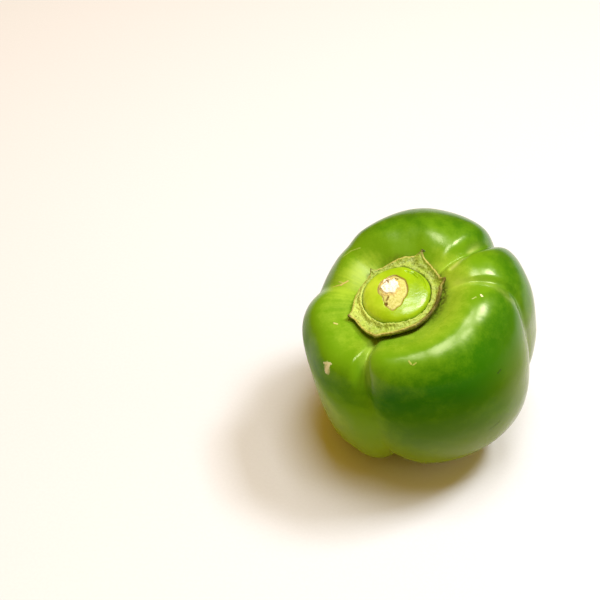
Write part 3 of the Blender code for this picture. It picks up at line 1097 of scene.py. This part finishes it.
@dataclass
class Calyx:
    """The toothed cup between the fruit and the stem."""

    stance: Stance
    form: FruitForm
    finish: CalyxFinish = field(default_factory=CalyxFinish)
    teeth: tuple[Tooth, ...] = (
        Tooth(azimuth=9, radius=0.0166, lift=0.0008, point=0.0012, rim=0.0013),
        Tooth(azimuth=58, radius=0.0182, lift=0.0005, point=0.0014, rim=0.0008),
        Tooth(azimuth=122, radius=0.0151, lift=0.0008, point=0.0012, rim=0.0008),
        Tooth(azimuth=200, radius=0.0172, lift=0.0010, point=0.0012, rim=0.0009),
        Tooth(azimuth=246, radius=0.0194, lift=0.0014, point=0.0006, rim=0.0014),
        Tooth(azimuth=290, radius=0.0174, lift=0.0016, point=0.0000, rim=0.0018),
        Tooth(azimuth=329, radius=0.0160, lift=0.0016, point=0.0000, rim=0.0018),
    )
    tooth_half_angle: float = 7.0
    full_point: float = 0.0014
    ragged_height: float = 0.00022
    ragged: Ramp = Ramp(0.7, 1.0)
    gap: float = 0.0004
    thickness: float = 0.0020
    rim: Ramp = Ramp(0.83, 1.0)
    outside_stem: Ramp = Ramp(0.01198, 0.01228)
    ridge_radius: float = 0.0127
    ridge_waver: float = 0.0004
    ridge_height: float = 0.0015
    ridge_width: float = 0.0008
    ridge_uneven: float = 0.25
    ridge_spacing: float = 0.0025
    waver_spacing: float = 0.004
    wrinkle_height: float = 0.00045
    wrinkle_spacing: float = 0.0022
    crumple_share: float = 0.6
    crumple_spacing: float = 0.0009
    wrinkled: Ramp = Ramp(1.0, 0.93)
    rib_height: float = 0.0004
    rib_half_width: float = 0.0005
    ribbed: Ramp = Ramp(0.72, 0.97)
    lip_height: float = 0.0003
    lip_share: float = 0.965
    lip_width: float = 0.025
    bowl_height: float = 0.0006
    bowl_share: float = 0.90
    bowl_width: float = 0.045
    bowl_side: Side = Side(250, 80, 1.2)
    yellow_left: Side = Side(190, 60)
    left_yellow: float = 0.85
    yellow_front: Side = Side(290, 110)
    front_yellow: float = 0.35
    ridge_yellow: float = 0.3
    ridge_yellow_width: float = 0.0010
    tan_rim: Ramp = Ramp(0.955, 0.985)
    wall_and_shade: Ramp = Ramp(0.995, 1.0)
    wall_side: Side = Side(320, 100)
    fallen_wall_and_shade: Ramp = Ramp(0.905, 0.935)
    fallen_side: Side = Side(332, 48, 1.2)
    fallen_shift: float = 0.08
    under_rim: float = 0.3
    under_wall: float = 0.25
    tip: Ramp = Ramp(0.93, 0.99)
    tip_reach: float = 5.0
    segments: int = 360
    rings: int = 84
    under_rings: int = 24

    def tooth_value(self, azimuth: np.ndarray, name: str) -> np.ndarray:
        """One of the teeth's sizes, blended round the azimuth."""
        marks = [tooth.azimuth for tooth in self.teeth]
        return around(azimuth, marks, [getattr(tooth, name) for tooth in self.teeth])

    def edge(self, azimuth: np.ndarray) -> np.ndarray:
        """The radius of the edge: nearly straight between neighbouring teeth, with a point on each."""
        marks = np.array([tooth.azimuth for tooth in self.teeth], float)
        radii = np.array([tooth.radius for tooth in self.teeth])
        first = (np.searchsorted(marks, azimuth % 360, side="right") - 1) % len(marks)
        second = (first + 1) % len(marks)
        span = np.radians((marks[second] - marks[first]) % 360)
        turn = np.radians((azimuth - marks[first]) % 360)
        across = radii[first] * np.sin(turn) + radii[second] * np.sin(span - turn)
        straight = radii[first] * radii[second] * np.sin(span) / across
        radius = (straight + self.tooth_value(azimuth, "radius")) / 2
        for tooth in self.teeth:
            near = 1 - np.abs(turn_between(azimuth, tooth.azimuth)) / self.tooth_half_angle
            radius += tooth.point * np.maximum(0.0, near) ** 1.5
        return radius

    def build(self) -> bpy.types.Object:
        """Builds the calyx and returns it."""
        mesh = spun_lens("pepper_calyx", self.rings, self.under_rings, self.segments)
        lens = read_points(mesh)
        share = np.minimum(np.hypot(lens[:, 0], lens[:, 1]), 1.0)
        azimuth = np.degrees(np.arctan2(lens[:, 1], lens[:, 0]))
        top = lens[:, 2] > 0.5
        turn = np.radians(azimuth)
        ragged = lumps(np.column_stack([np.cos(turn), np.sin(turn), np.zeros(len(turn))]), 0.10, 5.0, 3)
        radius = (self.edge(azimuth) + self.ragged_height * ragged * self.ragged.share(share)) * share
        x = self.form.seat[0] + radius * np.cos(turn)
        y = self.form.seat[1] + radius * np.sin(turn)
        rim = self.rim.share(share)
        under = self.form.skin_height(x, y) + self.gap + self.tooth_value(azimuth, "lift") * rim
        thickness = self.thickness + (self.tooth_value(azimuth, "rim") - self.thickness) * rim
        height = under + np.where(top, thickness + self.surface(x, y, radius, share, azimuth), 0.0)
        write_points(mesh, self.stance.to_world(np.column_stack([x, y, height])))
        for name, value in self.tones(radius, share, azimuth, top).items():
            write_values(mesh, name, value)
        piece = finish_mesh("pepper_calyx", mesh, self.finish.build())
        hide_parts(Node.CALYX.value)
        return piece

    def surface(
        self, x: np.ndarray, y: np.ndarray, radius: np.ndarray, share: np.ndarray, azimuth: np.ndarray
    ) -> np.ndarray:
        """The wrinkles, the ridge round the stem, the sepals' midribs and the lip of the rim.

        Args:
            x: the places along the first axis.
            y: the places along the second axis.
            radius: their distances from the calyx's middle.
            share: how far out they are, 1 at the edge.
            azimuth: their azimuths.

        Returns:
            The height to add at each place.
        """
        flat = np.column_stack([x, y, np.zeros(len(x))])
        wrinkles = lumps(flat, self.wrinkle_spacing, 1.0, 3)
        wrinkles += self.crumple_share * lumps(flat, self.crumple_spacing, 4.0)
        wrinkles *= self.wrinkle_height * self.wrinkled.share(share)
        waver = self.ridge_waver * lumps(flat, self.waver_spacing, 9.0)
        past = np.maximum(radius - self.ridge_radius - waver, 0.0)
        ridge = self.ridge_height * bell(past, self.ridge_width)
        ridge *= 1 + self.ridge_uneven * lumps(flat, self.ridge_spacing, 11.0)
        lip = self.lip_height * bell(share - self.lip_share, self.lip_width)
        bowl = self.bowl_height * self.bowl_side.share(azimuth)
        lip += bowl * bell(share - self.bowl_share, self.bowl_width)
        ribs = np.zeros(len(x))
        for tooth in self.teeth:
            off = np.radians(turn_between(azimuth, tooth.azimuth)) * radius
            ribs += tooth.point / self.full_point * bell(off, self.rib_half_width)
        ribs *= self.rib_height * self.ribbed.share(share)
        return (wrinkles + ridge + ribs) * self.outside_stem.share(radius) + lip

    def tones(
        self, radius: np.ndarray, share: np.ndarray, azimuth: np.ndarray, top: np.ndarray
    ) -> dict[str, np.ndarray]:
        """What the calyx's colours read.

        Args:
            radius: the places' distances from the calyx's middle.
            share: how far out they are, 1 at the edge.
            azimuth: their azimuths.
            top: whether they are on the upper side.

        Returns:
            The values at each place, by name.
        """
        yellow = self.left_yellow * self.yellow_left.share(azimuth)
        yellow += self.front_yellow * self.yellow_front.share(azimuth)
        yellow += self.ridge_yellow * bell(radius - self.ridge_radius, self.ridge_yellow_width)
        outer = self.wall_side.share(azimuth)
        fallen = self.fallen_side.share(azimuth)
        rim = self.tan_rim.share(share + self.fallen_shift * fallen)
        # Partly the wall's brown, partly painted shade; the fallen part lays it on the rim's top at the front
        # right.
        wall_and_shade = np.maximum(self.wall_and_shade.share(share) * outer, self.fallen_wall_and_shade.share(share) * fallen)
        tip = np.zeros(len(share))
        for tooth in self.teeth:
            near = Side(tooth.azimuth, self.tip_reach).share(azimuth) * self.tip.share(share)
            tip = np.maximum(tip, near * tooth.point / self.full_point)
        return {
            "yellow": np.where(top, np.clip(yellow, 0, 1), 0.0),
            "rim": np.where(top, rim, self.under_rim),
            "wall_and_shade": np.where(top, wall_and_shade, self.under_wall + (1 - self.under_wall) * outer),
            "tip": tip,
        }


@dataclass(frozen=True)
class StemFinish:
    """The stem's shiny yellow-green, and the corky cut with its white pith."""

    green: Colour = (0.270, 0.460, 0.004)
    light: Colour = (0.450, 0.640, 0.035)
    dark: Colour = (0.100, 0.230, 0.004)
    cork: Colour = (0.500, 0.510, 0.130)
    pith: Colour = (0.960, 0.930, 0.780)
    pith_rim: Colour = (0.560, 0.430, 0.140)
    outline: Colour = (0.230, 0.150, 0.030)
    crack: Colour = (0.240, 0.140, 0.025)
    light_cork: Colour = (0.620, 0.630, 0.220)
    old_pith: Colour = (0.80, 0.68, 0.40)
    roughness: float = 0.30
    dry_roughness: float = 0.45
    specular: float = 0.5
    patch_scale: float = 160.0
    fine_scale: float = 900.0
    grit_scale: float = 2600.0
    patch_depth: float = 0.0003
    fine_depth: float = 0.00008
    grit_depth: float = 0.0003

    def build(self) -> bpy.types.Material:
        """Builds the material and returns it."""
        finish = Finish(Slot.STEM.value, self.roughness, self.specular)
        place = finish.place()
        patch = finish.grain(place, self.patch_scale, 3.0)
        fine = finish.grain(place, self.fine_scale, 4.0)
        grit = finish.grain(place, self.grit_scale, 3.0)
        # The tone is painted light and shade on the dome, with random patches added.
        tone = finish.plus(finish.read("tone"), finish.ease(patch, 0.3, 0.7, -0.12, 0.12))
        cut = finish.read("cut")
        pith = finish.read("pith")
        colour = finish.covered(
            self.dark,
            (finish.ease(tone, 0.0, 0.5), self.green),
            (finish.ease(tone, 0.5, 1.0), self.light),
            (finish.ease(fine, 0.5, 0.75, 0.0, 0.15), self.light),
            (cut, finish.blend(finish.ease(fine, 0.40, 0.65), self.cork, self.light_cork)),
            (finish.times(finish.read("outline"), finish.ease(fine, 0.30, 0.50, 0.55, 1.0)), self.outline),
            (finish.read("pith_rim"), self.pith_rim),
            (pith, finish.blend(finish.ease(fine, 0.35, 0.55), self.old_pith, self.pith)),
            (finish.read("crack"), self.crack),
        )
        dry = finish.sum_of("MAXIMUM", cut, pith)
        roughness = finish.plus(finish.times(dry, self.dry_roughness), self.roughness)
        gritty = finish.times(grit, dry)
        normal = finish.relief((patch, self.patch_depth), (fine, self.fine_depth), (gritty, self.grit_depth))
        finish.wear(colour, roughness, normal)
        return finish.material


@dataclass
class Stem:
    """The stub of the stem: a broad dome with the corky cut at its end."""

    stance: Stance
    form: FruitForm
    finish: StemFinish = field(default_factory=StemFinish)
    radius: float = 0.0120
    height: float = 0.0060
    fullness: float = 1.90
    edge: float = 0.0008
    under_gap: float = 0.0027
    cut_middle: tuple[float, float] = (-0.0011, -0.0007)
    cut_azimuths: tuple[float, ...] = (14, 52, 83, 117, 168, 211, 232, 248, 268, 286, 318)
    cut_radii: tuple[float, ...] = (
        0.0055, 0.0064, 0.0074, 0.0063, 0.0050, 0.0038, 0.0048, 0.0064, 0.0075, 0.0067, 0.0053
    )
    cut_depth: float = 0.0004
    pith_middle: tuple[float, float] = (-0.0018, 0.0015)
    pith_half_width: float = 0.0031
    pith_half_length: float = 0.0038
    pith_height: float = 0.0007
    crease_paths: tuple[tuple[tuple[float, float], ...], ...] = (
        ((0.0050, 0.0092), (0.0082, 0.0066), (0.0100, 0.0030), (0.0108, -0.0010)),
        ((0.0032, 0.0088), (0.0062, 0.0070), (0.0084, 0.0040)),
    )
    crack_paths: tuple[tuple[tuple[float, float], ...], ...] = (
        ((-0.0040, 0.0031), (-0.0030, 0.0042), (-0.0014, 0.0044), (-0.0002, 0.0051), (0.0010, 0.0048)),
        ((-0.0026, 0.0042), (-0.0022, 0.0033)),
        ((-0.0026, -0.0029), (-0.0034, -0.0041)),
    )
    hole: tuple[float, float] = (-0.0036, -0.0055)
    hole_radius: float = 0.0006
    cut_edge: Ramp = Ramp(-0.0001, 0.0002)
    pith_edge: Ramp = Ramp(1.0, 0.9)
    pith_waver: float = 0.16
    pith_crumble: float = 0.10
    crumble_spacing: float = 0.0007
    crumb_spacing: float = 0.0009
    pith_rim_middle: float = 1.08
    pith_rim_half_width: float = 0.09
    hole_edge: Ramp = Ramp(1.3, 0.7)
    crease_start: Ramp = Ramp(0.0, 0.2)
    crease_end: Ramp = Ramp(1.0, 0.8)
    edge_waver: float = 0.00018
    line_waver: float = 0.0002
    waver_spacing: float = 0.0016
    crack_half_width: float = 0.00028
    crease_half_width: float = 0.00035
    outline_half_width: float = 0.00030
    swell_height: float = 0.00018
    swell_spacing: float = 0.006
    swollen: Ramp = Ramp(1.0, 0.8)
    outline_depth: float = 0.00015
    crumb_height: float = 0.00022
    pith_rim_height: float = 0.0002
    crack_depth: float = 0.0009
    crease_depth: float = 0.0005
    middle_tone: float = 0.52
    light_left: Ramp = Ramp(0.004, -0.012)
    left_lighter: float = 0.34
    dark_right: Ramp = Ramp(0.002, 0.010)
    right_darker: float = 0.14
    dark_front: Ramp = Ramp(-0.006, -0.013)
    front_darker: float = 0.16
    dark_edge: Ramp = Ramp(0.92, 1.0)
    edge_darker: float = 0.02
    segments: int = 320
    rings: int = 120
    under_rings: int = 12

    def build(self) -> bpy.types.Object:
        """Builds the stem and returns it."""
        mesh = spun_lens("pepper_stem", self.rings, self.under_rings, self.segments)
        lens = read_points(mesh)
        share = np.minimum(np.hypot(lens[:, 0], lens[:, 1]), 1.0)
        turn = np.arctan2(lens[:, 1], lens[:, 0])
        top = lens[:, 2] > 0.5
        flat = np.column_stack([self.radius * share * np.cos(turn), self.radius * share * np.sin(turn)])
        x = self.form.seat[0] + flat[:, 0]
        y = self.form.seat[1] + flat[:, 1]
        under = self.form.skin_height(x, y) + self.under_gap
        dome = (1 - share ** self.fullness) ** (1 / self.fullness)
        rise = self.edge + (self.height - self.edge) * dome
        values = self.features(flat)
        rise = rise + self.surface(flat, share, values)
        write_points(mesh, self.stance.to_world(np.column_stack([x, y, under + np.where(top, rise, 0.0)])))
        for name, value in values.items():
            write_values(mesh, name, np.where(top, value, 0.0))
        # The stem's tone is painted light and shade on the dome.
        write_values(mesh, "tone", self.tone(flat, share))
        piece = finish_mesh("pepper_stem", mesh, self.finish.build())
        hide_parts(Node.STEM.value)
        return piece

    def features(self, flat: np.ndarray) -> dict[str, np.ndarray]:
        """Where the cut, its outline, the pith, the cracks and the creases are.

        Args:
            flat: the places on the stem, from its middle.

        Returns:
            A share from 0 to 1 at each place, for each feature by name.
        """
        spread = np.column_stack([flat, np.zeros(len(flat))])
        wobble = lumps(spread, self.waver_spacing, 2.0, 3)
        shifted = flat + self.line_waver * wobble[:, None]
        off_x = flat[:, 0] - self.cut_middle[0]
        off_y = flat[:, 1] - self.cut_middle[1]
        azimuth = np.degrees(np.arctan2(off_y, off_x))
        edge = around(azimuth, list(self.cut_azimuths), list(self.cut_radii))
        inside = edge + self.edge_waver * wobble - np.hypot(off_x, off_y)
        pith_x = (flat[:, 0] - self.pith_middle[0]) / self.pith_half_width
        pith_y = (flat[:, 1] - self.pith_middle[1]) / self.pith_half_length
        off_pith = np.hypot(pith_x, pith_y) + self.pith_waver * wobble
        off_pith += self.pith_crumble * lumps(spread, self.crumble_spacing, 6.0)
        crack = np.zeros(len(flat))
        for path in self.crack_paths:
            gap, _ = line_distance(shifted, np.array(path))
            crack = np.maximum(crack, bell(gap, self.crack_half_width))
        hole = np.hypot(flat[:, 0] - self.hole[0], flat[:, 1] - self.hole[1]) / self.hole_radius
        crack = np.maximum(crack, self.hole_edge.share(hole))
        crease = np.zeros(len(flat))
        for path in self.crease_paths:
            gap, along = line_distance(shifted, np.array(path))
            ends = self.crease_start.share(along) * self.crease_end.share(along)
            crease = np.maximum(crease, ends * bell(gap, self.crease_half_width))
        return {
            "cut": self.cut_edge.share(inside),
            "outline": bell(inside, self.outline_half_width),
            "pith": self.pith_edge.share(off_pith),
            "pith_rim": bell(off_pith - self.pith_rim_middle, self.pith_rim_half_width),
            "crack": crack,
            "crease": crease,
        }

    def surface(self, flat: np.ndarray, share: np.ndarray, values: dict[str, np.ndarray]) -> np.ndarray:
        """The height that the cut, the pith, the cracks and the creases add or take."""
        spread = np.column_stack([flat, np.zeros(len(flat))])
        crumbs = self.crumb_height * lumps(spread, self.crumb_spacing, 7.0, 3)
        heights = {
            "cut": -self.cut_depth,
            "outline": -self.outline_depth,
            "pith": self.pith_height + crumbs,
            "pith_rim": self.pith_rim_height,
            "crack": -self.crack_depth,
            "crease": -self.crease_depth,
        }
        swell = self.swell_height * lumps(spread, self.swell_spacing, 12.0) * self.swollen.share(share)
        return swell + sum(height * values[name] for name, height in heights.items())

    def tone(self, flat: np.ndarray, share: np.ndarray) -> np.ndarray:
        """Painted light and shade on the dome: lightest towards the left and the top, dark along the front
        edge.
        """
        tone = self.middle_tone + self.left_lighter * self.light_left.share(flat[:, 0])
        tone -= self.right_darker * self.dark_right.share(flat[:, 0])
        tone -= self.front_darker * self.dark_front.share(flat[:, 1])
        return tone - self.edge_darker * self.dark_edge.share(share)


@dataclass(frozen=True)
class SoftLight:
    """One square soft light, aimed at the pepper. It makes a highlight only if it is mirrored."""

    name: str
    direction: tuple[float, float, float]
    distance: float
    size: float
    power: float
    mirrored: bool = True


@dataclass
class Studio:
    """The pale floor, the soft lights and the bright room round them."""

    view: PhotoView
    floor_size: float = 6.0
    floor_grain: float = 0.98
    floor_colour: Colour = (0.66, 0.70, 0.78)
    room_colour: Colour = (1.0, 0.55, 0.06)
    room_strength: float = 0.58
    lights: tuple[SoftLight, ...] = (
        SoftLight("broad_light", (0.02, -0.05, 1.0), distance=1.0, size=0.38, power=7.2),
        SoftLight("near_light", (0.48, 0.12, 1.0), distance=1.0, size=0.23, power=7.0),
        SoftLight("side_light", (1.0, -0.10, 0.22), distance=0.9, size=0.70, power=1.6, mirrored=False),
    )

    def build(self) -> None:
        """Builds the floor, the room and the lights, and places the camera."""
        self.build_floor()
        self.build_room()
        for light in self.lights:
            self.add_light(light)
        self.view.add_camera()
        bpy.context.scene.view_settings.view_transform = "Standard"

    def build_floor(self) -> None:
        """The floor: one wide sheet with a faint paper grain."""
        builder = bmesh.new()
        bmesh.ops.create_grid(builder, x_segments=1, y_segments=1, size=self.floor_size / 2)
        mesh = bpy.data.meshes.new("studio_floor")
        builder.to_mesh(mesh)
        builder.free()
        finish = Finish("floor_paper", 0.7, 0.2)
        grain = finish.grain(finish.place(), 900.0, 2.0)
        darker = tuple(part * self.floor_grain for part in self.floor_colour)
        colour = finish.blend(finish.ease(grain, 0.3, 0.7), self.floor_colour, darker)
        finish.wear(colour)
        mesh.materials.append(finish.material)
        floor = bpy.data.objects.new("studio_floor", mesh)
        bpy.context.scene.collection.objects.link(floor)

    def build_room(self) -> None:
        """The light that comes from all round."""
        world = bpy.data.worlds.new("studio_room")
        world.use_nodes = True
        background = world.node_tree.nodes["Background"]
        background.inputs["Color"].default_value = (*self.room_colour, 1.0)
        background.inputs["Strength"].default_value = self.room_strength
        bpy.context.scene.world = world

    def add_light(self, light: SoftLight) -> None:
        """Adds one soft light."""
        lamp = bpy.data.lights.new(light.name, "AREA")
        lamp.size = light.size
        lamp.energy = light.power
        direction = Vector(light.direction).normalized()
        holder = bpy.data.objects.new(light.name, lamp)
        holder.location = Vector(self.view.subject) + direction * light.distance
        holder.rotation_euler = direction.to_track_quat("Z", "Y").to_euler()
        holder.visible_glossy = light.mirrored
        bpy.context.scene.collection.objects.link(holder)


def main() -> None:
    """Builds the pepper from the fruit up, and the studio round it."""
    logging.basicConfig(level=logging.INFO, format="%(name)s: %(message)s")
    view = PhotoView()
    stance = Stance()
    form = FruitForm()
    for builder in (Fruit(view, stance, form), Calyx(stance, form), Stem(stance, form)):
        piece = builder.build()
        LOG.info("%s has %d faces", piece.name, len(piece.data.polygons))
    Studio(view).build()


if __name__ == "__main__":
    main()
